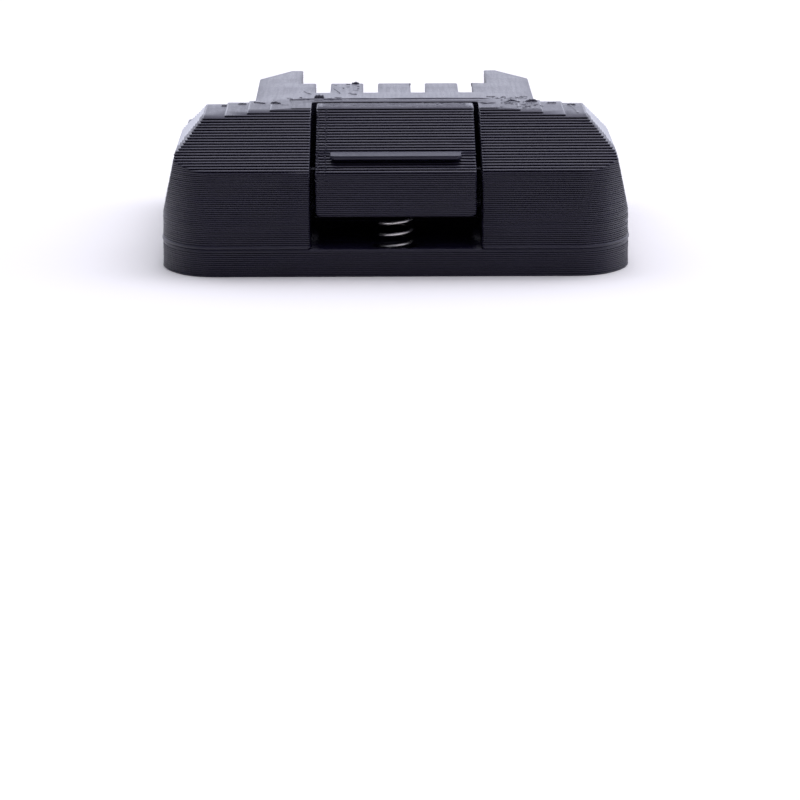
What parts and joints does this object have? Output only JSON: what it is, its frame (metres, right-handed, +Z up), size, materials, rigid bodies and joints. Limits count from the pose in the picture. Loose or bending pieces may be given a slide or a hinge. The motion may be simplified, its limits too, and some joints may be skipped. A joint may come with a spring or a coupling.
{
  "type": "tool battery adapter",
  "caption": "3-D printed adapter that slides onto a tool battery and carries another tool rail, contact slots and a sprung latch.",
  "frame": {"origin": "centre of the underside, under the middle of the overall box", "axes": "+Z up, -Y towards the front with the latch, +X to the right seen from the front"},
  "size_m": [0.072, 0.08, 0.0231],
  "materials": {
    "printed_black": "black PLA, printed in 0.3 mm layers, satin",
    "spring_steel": "drawn spring wire",
    "plated_copper": "nickel-plated sheet",
    "contact_bronze": "bent phosphor bronze strip",
    "wire_red": "silicone insulation",
    "wire_black": "silicone insulation",
    "wire_yellow": "silicone insulation",
    "wire_white": "silicone insulation",
    "solder": "bright solder",
    "screw_steel": "black oxide",
    "zinc_steel": "zinc plated",
    "insert_brass": "turned brass"
  },
  "bodies": {
    "body": {"base_plate": "printed_black", "battery_blade_negative": "plated_copper", "battery_blade_positive": "plated_copper", "battery_blade_sense_1": "plated_copper", "battery_blade_sense_2": "plated_copper", "blade_carrier": "printed_black", "carrier_screws": "zinc_steel", "contact_retainer": "printed_black", "housing_screws": "screw_steel", "latch_spring": "spring_steel", "retainer_screws": "zinc_steel", "solder_joints": "solder", "threaded_inserts": "insert_brass", "tool_contact_negative": "contact_bronze", "tool_contact_positive": "contact_bronze", "tool_contact_sense_1": "contact_bronze", "tool_contact_sense_2": "contact_bronze", "upper_housing": "printed_black", "wire_negative": "wire_black", "wire_positive": "wire_red", "wire_sense_1": "wire_yellow", "wire_sense_2": "wire_white"},
    "latch": {"latch_button": "printed_black"}
  },
  "joints": [
    {"name": "latch_slide", "type": "slide", "parent": "body", "child": "latch", "axis": [0, 0, -1], "range_m": [0, 0.004], "stiffness_N_per_m": 900, "springref_m": -0.002, "deforming": ["latch_spring"]}
  ]
}
